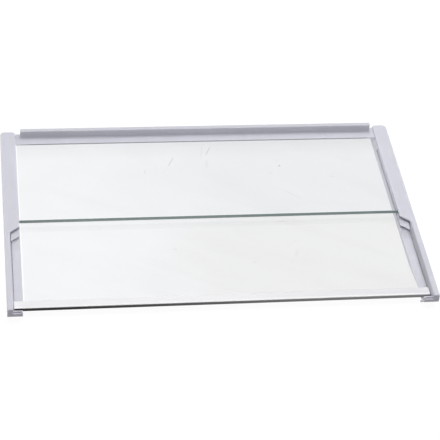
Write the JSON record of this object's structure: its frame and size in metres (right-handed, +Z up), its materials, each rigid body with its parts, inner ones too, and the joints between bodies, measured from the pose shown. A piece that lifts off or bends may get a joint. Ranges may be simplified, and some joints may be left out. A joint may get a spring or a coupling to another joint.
{
  "type": "divided refrigerator shelf",
  "caption": "Stepped glass refrigerator shelf: plastic side rails carry a fixed rear pane with a raised back stop and a lower front pane that slides back under it.",
  "frame": {"origin": "middle of the outline, on the surface that the rails stand on", "axes": "+X across the shelf to the right, +Y from the front edge to the back stop, +Z up"},
  "size_m": [0.475, 0.3, 0.0312],
  "materials": {
    "moulded_plastic": "satin",
    "pane_glass": "polished",
    "trim_strip": "satin"
  },
  "bodies": {
    "frame": {"left_rail": "moulded_plastic", "right_rail": "moulded_plastic", "rear_glass": "pane_glass", "rear_stop_strip": "moulded_plastic"},
    "front_pane": {"front_glass": "pane_glass", "front_trim": "trim_strip"}
  },
  "joints": [
    {"name": "front_pane_slide", "type": "slide", "parent": "frame", "child": "front_pane", "axis": [0, 1, 0], "range_m": [-0.0047, 0.0944]}
  ]
}
